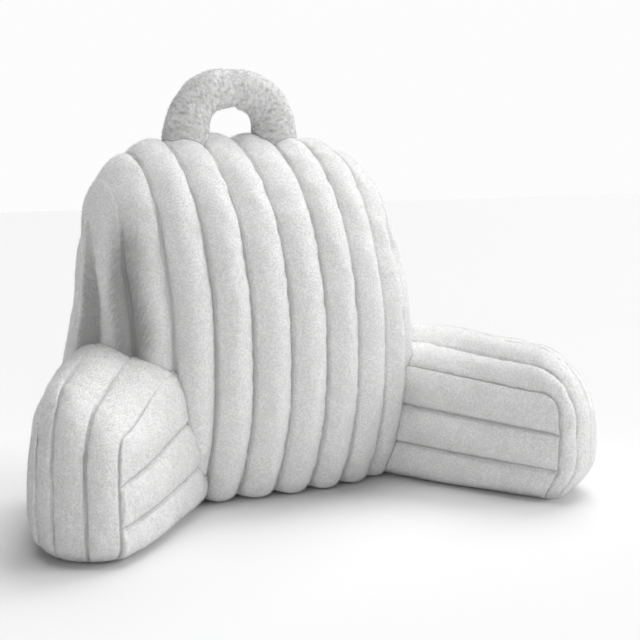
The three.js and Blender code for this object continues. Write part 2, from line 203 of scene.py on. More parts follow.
# Fine grids: shares of a channel where its lines stand, where each is on the round section, the
# power that makes the section full, and the numbers of rows, columns, steps and sides
CHANNEL_STEPS = [0, 0.03, 0.085, 0.19, 0.34, 0.5, 0.66, 0.81, 0.915, 0.97]
ROUND_STEPS = [0, 0.03, 0.09, 0.2, 0.35, 0.5, 0.65, 0.8, 0.91, 0.97]
ROUND_CURVE = 0.86
BACKREST_ROWS = 66
BACKREST_COLUMNS = 24
ARM_COLUMNS = 54
HANDLE_STEPS = 96
HANDLE_SIDES = 40

# The neighbour is grown by this many gaps before it cuts, because its corners grow less
CUT_ALLOWANCE = 1.3

# A grid line nearer to a seam than this share of a channel lies on it
ON_SEAM = 1e-6

# Least height in millimetres of a point that isn't on the underside
LEAST_HEIGHT = 0.4

# The seed of each piece's unevenness
SEEDS = {"backrest": 11, "arm_left": 31, "arm_right": 41, "handle": 71}

# The cloth of the filled pieces
FILLING_FRAMES = 20
CLOTH = {"quality": 5, "mass": 0.15, "tension_stiffness": 12, "compression_stiffness": 12,
         "shear_stiffness": 4, "bending_stiffness": 0.15, "air_damping": 4}

# Unevenness of the surface and of its painted shade: fades, scales, reach and heights in metres, and a share
# as strength
FLOOR_FADE = 0.012
CROWN_FADE = 0.009
GATHER = {"scale": 0.021, "reach": 0.011, "height": 0.0005}
DENT = {"scale": 0.060, "height": 0.0011}
CREASE = {"scale": 0.015, "height": 0.0002}
MOTTLE = {"scale": 0.006, "strength": 0.22}

# Each ripple is a sum of bent sine waves
WAVE_COUNT = 9
WAVE_SPREAD = (0.7, 1.5)
WAVE_BEND = 0.35
WAVE_WARP = 1.6
WARP_PHASE = 1.7
WAVE_DIVISOR = 4.2

# Surface of the plush
PLUSH = {"Roughness": 0.92, "Specular IOR Level": 0.12, "Sheen Weight": 0.35,
         "Sheen Roughness": 0.45, "Sheen Tint": (1, 1, 1, 1)}

# Noise of the plush, in repeats per metre
PATCH_NOISE = 38
TUFT_NOISE = 420
FIBRE_NOISE = 1500

# Colours of the plush: noise over which pile counts as pressed or as a speck, the most that the
# pressed colour and the painted hollow shade show, and the millimetres over which the painted seam shade
# fades
PRESSED = (0.46, 0.7)
PRESSED_MOST = 0.5
SPECK = (0.43, 0.57)
SEAM_SHADE = 1.2
HOLLOW_MOST = 0.75

# Where the pile stands: the reach to a neighbour in tuft lengths, the share of it that has to be
# free, starts and spans in metres, and the depth where the front part of the backrest ends
PILE_REACH = 1.2
PILE_CLEARANCE = 0.7
PILE_FROM_FLOOR = (0.004, 0.006)
PILE_FROM_SEAM = (0.0012, 0.0025)
PILE_FRONT = -0.06

# How the pile lies: its direction, the strength of its patches, the stray of a tuft, and tuft sizes
PILE_LIE = (0.15, -0.35, -1.0)
PILE_SWIRL = 1.9
PATCH_DISTORTION = 1.2
TUFT_STRAY = 0.45
TUFT_SIZES = (0.55, 1.1)

# Camera at the photograph's viewing angle
CAMERA_PLACE = (-0.8105, -1.7887, 0.4369)
CAMERA_RIGHT = (0.8863, -0.4630, 0.0)
CAMERA_UP = (0.0524, 0.1003, 0.9936)
CAMERA_ROLL = math.radians(0.6)
CAMERA_LENS = 84.375

# Where each studio light stands, as a direction from the cushion
LIGHTS = {"key": (0.548, 0.384, 0.743), "side": (0.840, -0.392, 0.375), "top": (0.0, 0.0, 1.0),
          "front": (-0.392, -0.840, 0.375)}
ROOM_LIGHT = 0.04

# Half the side of the floor in metres
FLOOR_REACH = 9


class CushionShape(bpy.types.PropertyGroup):
    """Sizes of the filled pieces and their channels."""

    rib_front: FloatProperty(
        name="Rib Height, Front", description="How far a backrest channel stands out at the front",
        default=0.0165, min=0, unit="LENGTH")
    rib_back: FloatProperty(
        name="Rib Height, Back", description="How far a backrest channel stands out at the back",
        default=0.008, min=0, unit="LENGTH")
    side_puff: FloatProperty(
        name="Side Panel Fullness", description="How far the side panels stand out",
        default=-0.008, unit="LENGTH")
    rear_fold: FloatProperty(
        name="Rear Fold", description="How far the rear part of a side panel stands out",
        default=0.0045, unit="LENGTH")
    arm_channel: FloatProperty(
        name="Arm Channel Height", description="Channels over the top and front of an arm",
        default=0.0055, min=0, unit="LENGTH")
    arm_outer: FloatProperty(
        name="Arm Outer Fullness", description="Crown of the outer panel of an arm",
        default=0.019, min=0, unit="LENGTH")
    pressure: FloatProperty(
        name="Filling Pressure", description="Pressure of the filling against the cloth",
        default=4.0, min=0)
    ease: FloatProperty(
        name="Cloth Ease", description="Share by which the cloth is cut longer than its seams",
        default=0.015, min=0, max=0.2, subtype="FACTOR")
    reach: FloatProperty(
        name="Longest Move", description="The furthest that the filling may push a point",
        default=0.006, min=0, unit="LENGTH")
    groove_depth: FloatProperty(
        name="Seam Groove Depth", description="How far a seam is drawn in",
        default=0.003, min=0, unit="LENGTH")
    groove_width: FloatProperty(
        name="Seam Groove Width", description="Half the width of a drawn-in seam",
        default=0.0019, min=0.0001, unit="LENGTH")
    gap: FloatProperty(
        name="Gap", description="Room between two sewn pieces",
        default=0.0005, min=0, unit="LENGTH")


class CushionHandle(bpy.types.PropertyGroup):
    """Sizes of the carry handle."""

    radius_top: FloatProperty(
        name="Radius at the Top", description="Half the thickness of the handle at its top",
        default=0.026, min=0.001, unit="LENGTH")
    radius_foot: FloatProperty(
        name="Radius at the Foot", description="Half the thickness of the handle at its feet",
        default=0.033, min=0.001, unit="LENGTH")
    thickness: FloatProperty(
        name="Thickness", description="Share of the width that the handle is thick",
        default=0.9, min=0.1, max=1, subtype="FACTOR")


class CushionPile(bpy.types.PropertyGroup):
    """Sizes and colours of the plush, with the colours of its painted seam shade and painted hollow shade.
    """

    length: FloatProperty(
        name="Pile Length", description="Length of a tuft", default=0.0026, min=0.0001, unit="LENGTH")
    width: FloatProperty(
        name="Tuft Width", description="Half the width of a tuft at its foot",
        default=0.00028, min=0.00001, unit="LENGTH")
    density: FloatProperty(
        name="Tufts per Square Metre", description="How many tufts stand on a square metre",
        default=185000, min=0)
    patch: FloatProperty(
        name="Patches per Metre", description="How often the lie of the pile changes over a metre",
        default=42, min=0)
    lean: FloatProperty(
        name="Lean", description="How far the pile leans along its lie", default=0.9, min=0)
    seed: IntProperty(name="Seed", description="Seed of the tufts' places", default=7)
    colour: FloatVectorProperty(
        name="Plush Colour", description="Colour of the tips of the pile",
        default=(0.89, 0.89, 0.887), subtype="COLOR", size=3, min=0, max=1)
    shade: FloatVectorProperty(
        name="Pressed Pile Colour", description="Colour where the pile is pressed or parted",
        default=(0.75, 0.75, 0.747), subtype="COLOR", size=3, min=0, max=1)
    # Painted shade down in the seams
    groove: FloatVectorProperty(
        name="Seam Colour", description="Colour down in the seams",
        default=(0.51, 0.51, 0.508), subtype="COLOR", size=3, min=0, max=1)
    # Painted shade in hollows and on sides turned from the light
    hollow: FloatVectorProperty(
        name="Hollow Colour", description="Colour where the pile lies away from the light",
        default=(0.25, 0.25, 0.248), subtype="COLOR", size=3, min=0, max=1)


class CushionStage(bpy.types.PropertyGroup):
    """The floor and the studio light."""

    floor: FloatVectorProperty(
        name="Floor Colour", description="Colour of the floor",
        default=(0.735, 0.735, 0.735), subtype="COLOR", size=3, min=0, max=1)
    key: FloatProperty(
        name="Key Light", description="Strength of the high light from the right", default=2.15, min=0)
    side: FloatProperty(
        name="Side Light", description="Strength of the low light from the right", default=1.74, min=0)
    top: FloatProperty(
        name="Top Light", description="Strength of the light from above", default=1.34, min=0)
    front: FloatProperty(
        name="Front Light", description="Strength of the low light from the front", default=0.9, min=0)
    softness: FloatProperty(
        name="Softness", description="Angle that each light fills",
        default=math.radians(42), min=0, subtype="ANGLE")
    backdrop: FloatProperty(
        name="Backdrop", description="Brightness of the wall behind", default=0.978, min=0)


def along(keys, values, at):
    """Smooth curve through a table's column, read at the places given."""
    keys = np.asarray(keys, float)
    values = np.asarray(values, float)
    at = np.asarray(at, float)
    last = len(keys) - 1
    after = np.minimum(np.arange(last + 1) + 1, last)
    before = np.maximum(np.arange(last + 1) - 1, 0)
    slopes = (values[after] - values[before]) / (keys[after] - keys[before])
    i = np.clip(np.searchsorted(keys, at, side="left") - 1, 0, last - 1)
    span = keys[i + 1] - keys[i]
    t = np.clip((at - keys[i]) / span, 0, 1)
    t2 = t * t
    t3 = t2 * t
    return ((2 * t3 - 3 * t2 + 1) * values[i] + (t3 - 2 * t2 + t) * span * slopes[i]
            + (3 * t2 - 2 * t3) * values[i + 1] + (t3 - t2) * span * slopes[i + 1])


def smooth(value):
    """Smooth step from 0 to 1."""
    t = np.clip(value, 0, 1)
    return t * t * (3 - 2 * t)


def rising(value, start, span):
    """0 up to the start, then a smooth rise to 1 over the span."""
    return smooth((value - start) / span)


def falling(value, end, span):
    """A smooth fall from 1 over the span to 0 at the end."""
    return smooth((end - value) / span)


def bell(value, centre, width):
    """1 at the centre, fading out over the width on both sides."""
    return np.exp(-((value - centre) / width) ** 2)


def mix(a, b, t):
    """The value a share t of the way from a to b."""
    return a + (b - a) * t


def puff(t):
    """Round cross-section of a channel: 0 on both seams, 1 in the middle."""
    return np.maximum(0, 1 - np.abs(2 * t - 1) ** 2) ** ROUND_CURVE


def channel_lines(count, steps):
    """Places of the grid lines when every channel has the same steps."""
    return np.array([c + s for c in range(count) for s in steps] + [count], float)


def to_seam(lines):
    """Share of a channel from a line to its nearest seam."""
    part = lines - np.floor(lines)
    return np.minimum(part, 1 - part)


class Grid:
    """A closed cushion on the floor: loops over the top, a panel at each end and a flat underside."""

    def __init__(self, lines, rows, columns):
        self.lines = lines
        self.rows = rows
        self.columns = columns
        self.points = []
        self.lifts = []
        self.seams = []
        self.pins = []
        self.painted_shades = []
        self.count = 0
        self.quads = []

    def add(self, points, lifts, seams, pins, nap=0.0):
        """Adds a block of points and returns their numbers in the block's own shape."""
        shape = points.shape[:-1]
        size = int(np.prod(shape))
        self.points.append(points.reshape(size, 3))
        self.lifts.append(np.broadcast_to(lifts, shape).reshape(size))
        self.seams.append(np.broadcast_to(seams, shape).reshape(size))
        self.pins.append(np.broadcast_to(pins, shape).reshape(size))
        self.painted_shades.append(np.broadcast_to(nap, shape).reshape(size))
        ids = np.arange(self.count, self.count + size).reshape(shape)
        self.count += size
        return ids

    def quad_block(self, ids, turned):
        """Faces between neighbouring rows and columns of a block of numbers."""
        a, b, c, d = ids[:-1, :-1], ids[1:, :-1], ids[1:, 1:], ids[:-1, 1:]
        order = (a, d, c, b) if turned else (a, b, c, d)
        self.quads.append(np.stack(order, axis=-1).reshape(-1, 4))

    def close(self, loops, panels, floor_point):
        """Joins the loops, both end panels and the underside into one surface."""
        self.quad_block(loops, False)
        edges = []
        for side, inner in enumerate(panels):
            loop = loops[0] if side == 0 else loops[-1]
            ids = np.empty((self.rows + 1, self.columns + 1), int)
            ids[:-1, 1:-1] = inner
            ids[:, 0] = loop[: self.rows + 1]
            ids[:, -1] = loop[::-1][: self.rows + 1]
            ids[-1, :] = loop[self.rows: self.rows + self.columns + 1]
            self.quad_block(ids, side == 1)
            edges.append(ids[0])
        t = np.linspace(0, 1, self.columns + 1)[1:-1]
        under = np.empty((len(self.lines), self.columns + 1), int)
        under[:, 0] = loops[:, 0]
        under[:, -1] = loops[:, -1]
        under[0] = edges[0]
        under[-1] = edges[1]
        under[1:-1, 1:-1] = self.add(floor_point(t), 0.0, 1.0, True)
        self.quad_block(under, True)

    def arrays(self):
        """Points, lifts, pinned points, faces and the point values for the material."""
        values = {"seam": np.concatenate(self.seams), "nap": np.concatenate(self.painted_shades)}
        return (np.concatenate(self.points), np.concatenate(self.lifts), np.concatenate(self.pins),
                np.concatenate(self.quads), values)


def point_normals(points, quads):
    """Mean direction of the surface at each point."""
    across = np.cross(points[quads[:, 2]] - points[quads[:, 0]], points[quads[:, 3]] - points[quads[:, 1]])
    sums = np.zeros_like(points)
    for corner in range(quads.shape[1]):
        np.add.at(sums, quads[:, corner], across)
    return sums / np.maximum(np.linalg.norm(sums, axis=1, keepdims=True), 1e-12)


def lifted(points, lifts, quads):
    """Each point moved off the seam surface along the surface's own direction, in millimetres."""
    normals = point_normals(points, quads)
    moved = points + normals * lifts[:, None]
    low = points[:, 2] <= 0
    moved[:, 2] = np.maximum(moved[:, 2], LEAST_HEIGHT)
    moved[low] = points[low]
    return moved


def loop_seams(lines, loops):
    """Which points of the loops are sewn or on the floor, and how far each is from its nearest seam."""
    sewn = to_seam(lines)[:, None]
    pins = np.broadcast_to(sewn < ON_SEAM, loops.shape[:2]).copy()
    pins[:, [0, -1]] = True
    width = np.linalg.norm(np.diff(loops[::len(CHANNEL_STEPS)], axis=0), axis=-1)
    channel = np.minimum(np.floor(lines).astype(int), int(lines[-1]) - 1)
    return pins, sewn * width[channel]


def panel_points(loop, rows, across, top_share):
    """Fills an end panel between the front, the top and the back of its loop."""
    last = rows + len(across) + 1
    inner = mix(loop[:rows, None], loop[::-1][:rows, None], across[None, :, None])
    flat = mix(loop[rows], loop[last], across[:, None])
    inner = inner + (loop[rows + 1: last] - flat)[None] * top_share[:, None, None]
    inner[0, :, 2] = 0
    return inner


def backrest_shares(rows, columns):
    """Places of the grid rows on a loop: up the front, over the top and down the back."""
    last = 2 * rows + columns
    places = np.arange(last + 1)
    share = np.where(
        places <= rows, PANEL_FRONT_END * places / rows,
        np.where(places >= last - rows, 1 - (1 - PANEL_BACK_START) * (last - places) / rows,
                 mix(PANEL_FRONT_END, PANEL_BACK_START, (places - rows) / columns)))
    share[[0, -1]] = [0, 1]
    return share


def backrest_loops(side, share):
    """The seam surface of the backrest: one loop for each grid line."""
    seam = np.minimum(np.abs(side), RIB_COUNT / 2 - 1)
    forward = mix(along(BACKREST_SEAM, BACKREST_FRONT, seam), along(BACKREST_SEAM, BACKREST_CROWN, seam),
                  rising(share, *TO_CROWN))
    depth = along(LOOP_SHARE, MIDDLE_DEPTH, share) + mix(
        forward, along(BACKREST_SEAM, BACKREST_BACK, seam), rising(share, *TO_BACK))
    height = np.maximum(0, along(LOOP_SHARE, MIDDLE_HEIGHT, share))
    height = height * along(BACKREST_SEAM, BACKREST_TOP, seam) / BACKREST_HEIGHT
    across = np.broadcast_to(along(BACKREST_SEAM, BACKREST_ACROSS, seam), height.shape)
    middle = np.stack([across, depth, height], axis=-1)
    outer = np.stack([along(LOOP_SHARE, SIDE_ACROSS, share), along(LOOP_SHARE, SIDE_DEPTH, share),
                      np.maximum(0, along(LOOP_SHARE, SIDE_HEIGHT, share))], axis=-1)
    loops = mix(middle, outer[None], (np.abs(side) - seam)[..., None])
    loops[..., 0] *= np.sign(side)
    loops[:, [0, -1], 2] = 0
    return loops


def side_panel(shape, loop, rows, columns, panel_shade):
    """Points, lifts, seam distances and shares of painted shade of one side panel of the backrest."""
    t = np.arange(1, columns) / columns
    level = np.arange(rows) / rows
    inner = panel_points(loop, rows, t, rising(level, *PANEL_TOP))
    rear = np.clip((t - REAR_FOLD_START) / (1 - REAR_FOLD_START), 0, 1)
    hollow = (shape.side_puff / MM) * puff(np.clip(t / REAR_FOLD_START, 0, 1))
    hollow = hollow + (shape.rear_fold / MM) * puff(rear)
    fade = np.sqrt(1 - level ** 4) * smooth(loop[:rows, 2] / PANEL_FOOT)
    depth_here = np.linalg.norm(loop[::-1][:rows] - loop[:rows], axis=-1)
    way = np.minimum(t, 1 - t)[None] * depth_here[:, None]
    # Painted shade over the recessed panel: less at its front edge, on its rear fold and towards its top
    nap = mix(panel_shade * mix(PANEL_EDGE_SHADE, 1, smooth(t / PANEL_EDGE)), REAR_FOLD_SHADE,
              rising(t, *REAR_FOLD_EDGE))
    under_top = 1 - PANEL_TOP_FADE * rising(level, *PANEL_TOP_SHADE)
    return inner, hollow[None] * fade[:, None], way, nap[None] * under_top[:, None]


def backrest_grid(shape):
    """The backrest before its channels are filled, in millimetres."""
    lines = channel_lines(RIB_COUNT, CHANNEL_STEPS)
    rounds = channel_lines(RIB_COUNT, ROUND_STEPS)
    rows, columns = BACKREST_ROWS, BACKREST_COLUMNS
    share = backrest_shares(rows, columns)
    side = (lines - RIB_COUNT / 2)[:, None]
    loops = backrest_loops(side, share)
    grid = Grid(lines, rows, columns)
    peak = mix(shape.rib_front, shape.rib_back, rising(share, *TO_BACK_RIBS))[None] / MM
    shoulder = (rising(np.abs(side), *SHOULDER_ACROSS) * rising(share, *SHOULDER_RISE)
                * falling(share, *SHOULDER_FALL))
    peak = peak * (1 - SHOULDER_FLATTENING * shoulder)
    lifts = peak * puff(rounds - np.floor(rounds))[:, None] * smooth(loops[..., 2] / RIB_FOOT)
    pins, way = loop_seams(lines, loops)
    lost = bell(side, LOST_SEAM["side"], LOST_SEAM["width"])
    lost = lost * rising(share, *LOST_SEAM["rise"]) * falling(share, *LOST_SEAM["fall"])
    # Painted shade in the hollow between the two outermost ribs on the left
    fold_shade = bell(side, LEFT_FOLD_SHADE["side"],
                np.where(side < LEFT_FOLD_SHADE["side"], LEFT_FOLD_SHADE["outer_width"], LEFT_FOLD_SHADE["inner_width"]))
    fold_shade = fold_shade * rising(share, *LEFT_FOLD_SHADE["rise"]) * falling(share, *LEFT_FOLD_SHADE["fall"])
    loop_ids = grid.add(loops, lifts, way + LOST_SEAM["distance"] * lost, pins, fold_shade)
    panels = []
    for number, panel_shade in ((0, LEFT_PANEL_SHADE), (-1, RIGHT_PANEL_SHADE)):
        inner, lift, panel_way, nap = side_panel(shape, loops[number], rows, columns, panel_shade)
        pin = np.zeros(lift.shape, bool)
        pin[0] = True
        panels.append(grid.add(inner, lift, panel_way, pin, nap))
    front, back = loops[1:-1, 0], loops[1:-1, -1]
    grid.close(loop_ids, panels, lambda t: mix(front[:, None], back[:, None], t[None, :, None]))
    return grid.arrays()


def arm_loops(pose, line, panel):
    """The seam surface of an arm that runs straight: each loop's run, and its points."""
    outward = line / ARM_CHANNELS
    front, corner, back = (along(ARM_SEAM, v, line) for v in (pose["front"], ARM_CORNER, ARM_BACK))
    top_front, top_back = (along(ARM_SEAM, v, line) for v in (ARM_TOP_FRONT, ARM_TOP_BACK))
    half_corner = corner * (1 - math.sqrt(0.5))

    def top_at(run):
        return mix(top_front, top_back, np.clip((run - ARM_TOP_START) / ARM_TOP_RUN, 0, 1))

    def arc(reach):
        return corner - np.sqrt(np.maximum(0, corner * corner - reach * reach))

    edge_height = (top_at(0) - half_corner) * along(PANEL_ROW, PANEL_FRONT, panel)[None]
    edge_run = front + arc(np.maximum(0, edge_height - (top_at(0) - corner)))
    t = (np.arange(1, ARM_COLUMNS) / ARM_COLUMNS)[None]
    top_run = mix(front + half_corner, back - ARM_TAIL * outward, t ** ARM_CROWDING)
    top_height = top_at(top_run) - arc(np.maximum(0, corner - (top_run - front)))
    tail_share = along(PANEL_ROW, PANEL_BACK, panel[::-1])[None]
    tail_height = top_at(back) * tail_share
    tail_run = back - ARM_TAIL * tail_share ** 4 * outward
    run = np.concatenate([edge_run, top_run, tail_run], axis=1)
    height = np.concatenate([edge_height, top_height, tail_height], axis=1)
    height = height * (1 + pose["raise"] / ARM_RAISE_HEIGHT * (1 - outward) * rising(run, *ARM_RAISE_RUN))
    offset, widen = along(ARM_SEAM, pose["offset"], line), along(ARM_SEAM, pose["widen"], line)
    rounding = (1 - np.clip(height / FLOOR_ROUNDING, 0, 1)) ** 2
    across = (offset + widen * pose["widening"] * np.clip(run / ARM_WIDEN_RUN, 0, 1)
              - rounding * mix(*FLOOR_TUCK, outward))
    nose = np.where(run < NOSE_RUN, NOSE_TUCK, 0) * (1 - np.clip(height / pose["toe"], 0, 1)) ** NOSE_CURVE
    return run, np.stack([across, run + nose, height], axis=-1)


def arm_panels(shape, pose, straight, panel, panel_rounds):
    """Points, lifts, seam distances and pins of the inner and the outer panel of an arm."""
    rows = len(panel) - 1
    t = np.arange(1, ARM_COLUMNS) / ARM_COLUMNS
    t_run = t ** ARM_CROWDING
    level = panel[:-1][:, None]
    rise = level / PANEL_CHANNELS
    full = puff(0.5 + rise / 2) * puff(t_run / 2 + FRONT_FULLNESS)[None]
    full = full * mix(pose["foot"], 1, rise ** FOOT_CURVE)
    ends = puff(np.clip(t, 0, 0.5)) ** END_CURVE
    from_end = np.minimum(t_run, 1 - t_run)[None]
    sewn = to_seam(panel[:-1])[:, None]
    inner, outer = (panel_points(straight[number], rows, t_run, rising(rise[:, 0], *ARM_PANEL_TOP))
                    for number in (0, -1))
    inner[..., 0] -= pose["crown"] * full
    slack = 1 - pose["slack"] * rising(t_run[None], *PANEL_SLACK)
    lift = pose["channel"] * puff(panel_rounds[:-1][:, None] % 1) * ends
    lift = lift * smooth(level * LEVEL_HEIGHT / INNER_FOOT) * slack
    way = np.minimum(sewn * INNER_LEVEL, from_end * INNER_LENGTH)
    pin = np.broadcast_to(sewn < ON_SEAM, lift.shape).copy()
    pin[0] = True
    outer[..., 0] += (shape.arm_outer / MM) * full
    outer_lift = (OUTER_LIFT * ends * smooth(level * LEVEL_HEIGHT / OUTER_FOOT)
                  * puff(np.clip(rise, 0.5, 1)))
    outer_way = np.minimum(from_end * OUTER_LENGTH, (PANEL_CHANNELS - level) * OUTER_LEVEL)
    outer_pin = np.zeros(outer_lift.shape, bool)
    outer_pin[0] = True
    return (inner, lift, way, pin), (outer, outer_lift, outer_way, outer_pin)


def drawn_in(points, at, pose):
    """Bends the rear of an arm inwards; the outer seams move furthest."""
    bent = points.copy()
    past = np.maximum(0, points[..., 1] - ARM_BEND_START) / ARM_BEND_RUN
    bent[..., 0] -= pose["bend"] * at / ARM_CHANNELS * past ** 2
    return bent


def arm_grid(shape, pose):
    """An arm before it is turned and its channels are filled, in millimetres."""
    lines = channel_lines(ARM_CHANNELS, CHANNEL_STEPS)
    rounds = channel_lines(ARM_CHANNELS, ROUND_STEPS)
    panel = channel_lines(PANEL_CHANNELS, CHANNEL_STEPS)
    panel_rounds = channel_lines(PANEL_CHANNELS, ROUND_STEPS)
    line = lines[:, None]
    run, straight = arm_loops(pose, line, panel)
    loops = straight.copy()
    loops[:, [0, -1], 2] = 0
    bent = drawn_in(loops, line, pose)
    grid = Grid(lines, len(panel) - 1, ARM_COLUMNS)
    slack = 1 - pose["slack"] * rising(run, *ARM_SLACK_RUN)
    lifts = (shape.arm_channel / MM) * puff(rounds - np.floor(rounds))[:, None]
    lifts = lifts * smooth(straight[..., 2] / ARM_FOOT) * mix(slack, 1, SLACK_LEFT)
    pins, way = loop_seams(lines, loops)
    # The arm's painted shade comes from its pose
    loop_ids = grid.add(bent, lifts, way + (1 - slack) * SLACK_SEAM, pins, pose["nap"])
    panels = []
    for at, block in zip((0, ARM_CHANNELS), arm_panels(shape, pose, straight, panel, panel_rounds)):
        points, lift, panel_way, pin = block
        panels.append(grid.add(drawn_in(points, at, pose), lift, panel_way, pin, pose["nap"]))
    first, final = bent[1:-1, 0], bent[1:-1, -1]
    grid.close(loop_ids, panels, lambda t: mix(first[:, None], final[:, None], t[None, :, None]))
    return grid.arrays()


def turned_arm(points, pose):
    """Turns an arm into its place beside the backrest."""
    angle = math.radians(pose["turn"])
    x, y = points[:, 0], points[:, 1]
    placed = points.copy()
    placed[:, 0] = pose["side"] * (ARM_ACROSS + x * math.cos(angle) - y * math.sin(angle))
    placed[:, 1] = ARM_DEPTH + x * math.sin(angle) + y * math.cos(angle)
    return placed


def placed_in_part(points):
    """Millimetres of the pattern to metres of the part."""
    moved = points.copy()
    moved[:, 1] -= ORIGIN_DEPTH
    return moved * MM


def new_mesh(name, points, quads, values=None):
    """A mesh object at the origin with its point values."""
    mesh = bpy.data.meshes.new(name)
    mesh.from_pydata(points.tolist(), [], quads.tolist())
    for key, value in (values or {}).items():
        mesh.attributes.new(key, "FLOAT", "POINT").data.foreach_set("value", value.astype(np.float32))
    mesh.polygons.foreach_set("use_smooth", [True] * len(mesh.polygons))
    mesh.update()
    piece = bpy.data.objects.new(name, mesh)
    bpy.context.scene.collection.objects.link(piece)
    return piece


def read_points(mesh):
    """Places of the mesh's points."""
    flat = np.empty(len(mesh.vertices) * 3, np.float32)
    mesh.vertices.foreach_get("co", flat)
    return flat.reshape(-1, 3).astype(float)


def write_points(mesh, points):
    """Moves the mesh's points."""
    mesh.vertices.foreach_set("co", points.astype(np.float32).ravel())
    mesh.update()


def read_normals(mesh):
    """Directions of the mesh's points."""
    flat = np.empty(len(mesh.vertices) * 3, np.float32)
    mesh.vertex_normals.foreach_get("vector", flat)
    return flat.reshape(-1, 3).astype(float)


def read_value(mesh, key):
    """One value of each point."""
    flat = np.empty(len(mesh.vertices), np.float32)
    mesh.attributes[key].data.foreach_get("value", flat)
    return flat.astype(float)


def evaluated_mesh(piece, name):
    """The piece's mesh with its modifiers applied."""
    bpy.context.view_layer.update()
    graph = bpy.context.evaluated_depsgraph_get()
    mesh = bpy.data.meshes.new_from_object(piece.evaluated_get(graph), depsgraph=graph)
    mesh.name = name
    return mesh


def filled(piece, pins, shape):
    """Blows the cloth of a piece up between its seams and keeps each move short."""
    start = read_points(piece.data)
    group = piece.vertex_groups.new(name="seams")
    group.add(np.flatnonzero(pins).tolist(), 1.0, "REPLACE")
    cloth = piece.modifiers.new("filling", "CLOTH")
    settings = cloth.settings
    for key, value in CLOTH.items():
        setattr(settings, key, value)
    settings.vertex_group_mass = "seams"
    settings.use_pressure = True
    settings.uniform_pressure_force = shape.pressure
    settings.shrink_min = -shape.ease
    settings.effector_weights.gravity = 0
    cloth.collision_settings.use_collision = False
    scene = bpy.context.scene
    cloth.point_cache.frame_start = 1
    cloth.point_cache.frame_end = FILLING_FRAMES
    for number in range(1, FILLING_FRAMES + 1):
        scene.frame_set(number)
    blown = evaluated_mesh(piece, piece.name)
    moved = read_points(blown) - start
    piece.modifiers.remove(cloth)
    piece.vertex_groups.remove(group)
    bpy.data.meshes.remove(blown)
    scene.frame_set(1)
    length = np.linalg.norm(moved, axis=1, keepdims=True)
    limit = shape.reach
    moved *= limit * np.tanh(length / limit) / np.maximum(length, 1e-9)
    target = start + moved
    target[:, 2] = np.maximum(target[:, 2], np.where(start[:, 2] > 0, LEAST_HEIGHT * MM, 0))
    write_points(piece.data, target)


def subdivided(piece):
    """One subdivision, applied."""
    step = piece.modifiers.new("fine", "SUBSURF")
    step.levels = 1
    step.render_levels = 1
    mesh = evaluated_mesh(piece, piece.name)
    piece.modifiers.remove(step)
    old = piece.data
    piece.data = mesh
    bpy.data.meshes.remove(old)


def ripple(points, scale, seed):
    """Soft waves, mostly between -1 and 1: bent sines whose directions and phases the seed draws."""
    rng = np.random.default_rng(seed)
    total = np.zeros(len(points))
    for _ in range(WAVE_COUNT):
        way = rng.normal(size=3)
        way /= np.linalg.norm(way)
        turn = 2 * math.pi / (scale * rng.uniform(*WAVE_SPREAD))
        bend = rng.normal(size=3) * turn * WAVE_BEND
        phase = rng.uniform(0, 2 * math.pi)
        warp = np.sin(points @ bend + phase * WARP_PHASE) * WAVE_WARP
        total += np.sin(points @ way * turn + warp + phase)
    return total / WAVE_DIVISOR


def finished_surface(piece, shape, seed):
    """Draws the seams in, makes the cloth uneven and its painted shade mottled, and keeps the underside
    flat.
    """
    mesh = piece.data
    points = read_points(mesh)
    normals = read_normals(mesh)
    way = read_value(mesh, "seam") * MM
    off_floor = smooth(points[:, 2] / FLOOR_FADE)
    groove = bell(way, 0, shape.groove_width)
    crown = 1 - bell(way, 0, CROWN_FADE)
    gather = ripple(points, GATHER["scale"], seed) * bell(way, 0, GATHER["reach"]) * GATHER["height"]
    dent = ripple(points, DENT["scale"], seed + 1) * crown * DENT["height"]
    crease = ripple(points, CREASE["scale"], seed + 2) * crown * CREASE["height"]
    move = (-groove * shape.groove_depth + gather + dent + crease) * off_floor
    points += normals * move[:, None]
    points[:, 2] = np.maximum(points[:, 2], 0)
    write_points(mesh, points)
    # The painted shade is mottled at random
    nap = read_value(mesh, "nap") * (1 + MOTTLE["strength"] * ripple(points, MOTTLE["scale"], seed + 3))
    mesh.attributes["nap"].data.foreach_set("value", nap.astype(np.float32))


def surface_tree(piece):
    """The piece's surface, for finding what is near it."""
    mesh = piece.data
    return BVHTree.FromPolygons(
        [v.co for v in mesh.vertices], [tuple(p.vertices) for p in mesh.polygons], epsilon=0)


def cut_away(piece, neighbour, gap):
    """Cuts a piece back to the neighbour's surface, with a gap, and keeps its largest body."""
    cutter = neighbour.copy()
    cutter.data = neighbour.data.copy()
    bpy.context.scene.collection.objects.link(cutter)
    points = read_points(cutter.data) + read_normals(cutter.data) * gap * CUT_ALLOWANCE
    write_points(cutter.data, points)
    cut = piece.modifiers.new("cut", "BOOLEAN")
    cut.operation = "DIFFERENCE"
    cut.solver = "MANIFOLD"
    cut.object = cutter
    mesh = evaluated_mesh(piece, piece.name)
    piece.modifiers.remove(cut)
    old = piece.data
    piece.data = mesh
    bpy.data.meshes.remove(old)
    bpy.data.meshes.remove(cutter.data)
    keep_largest(mesh)


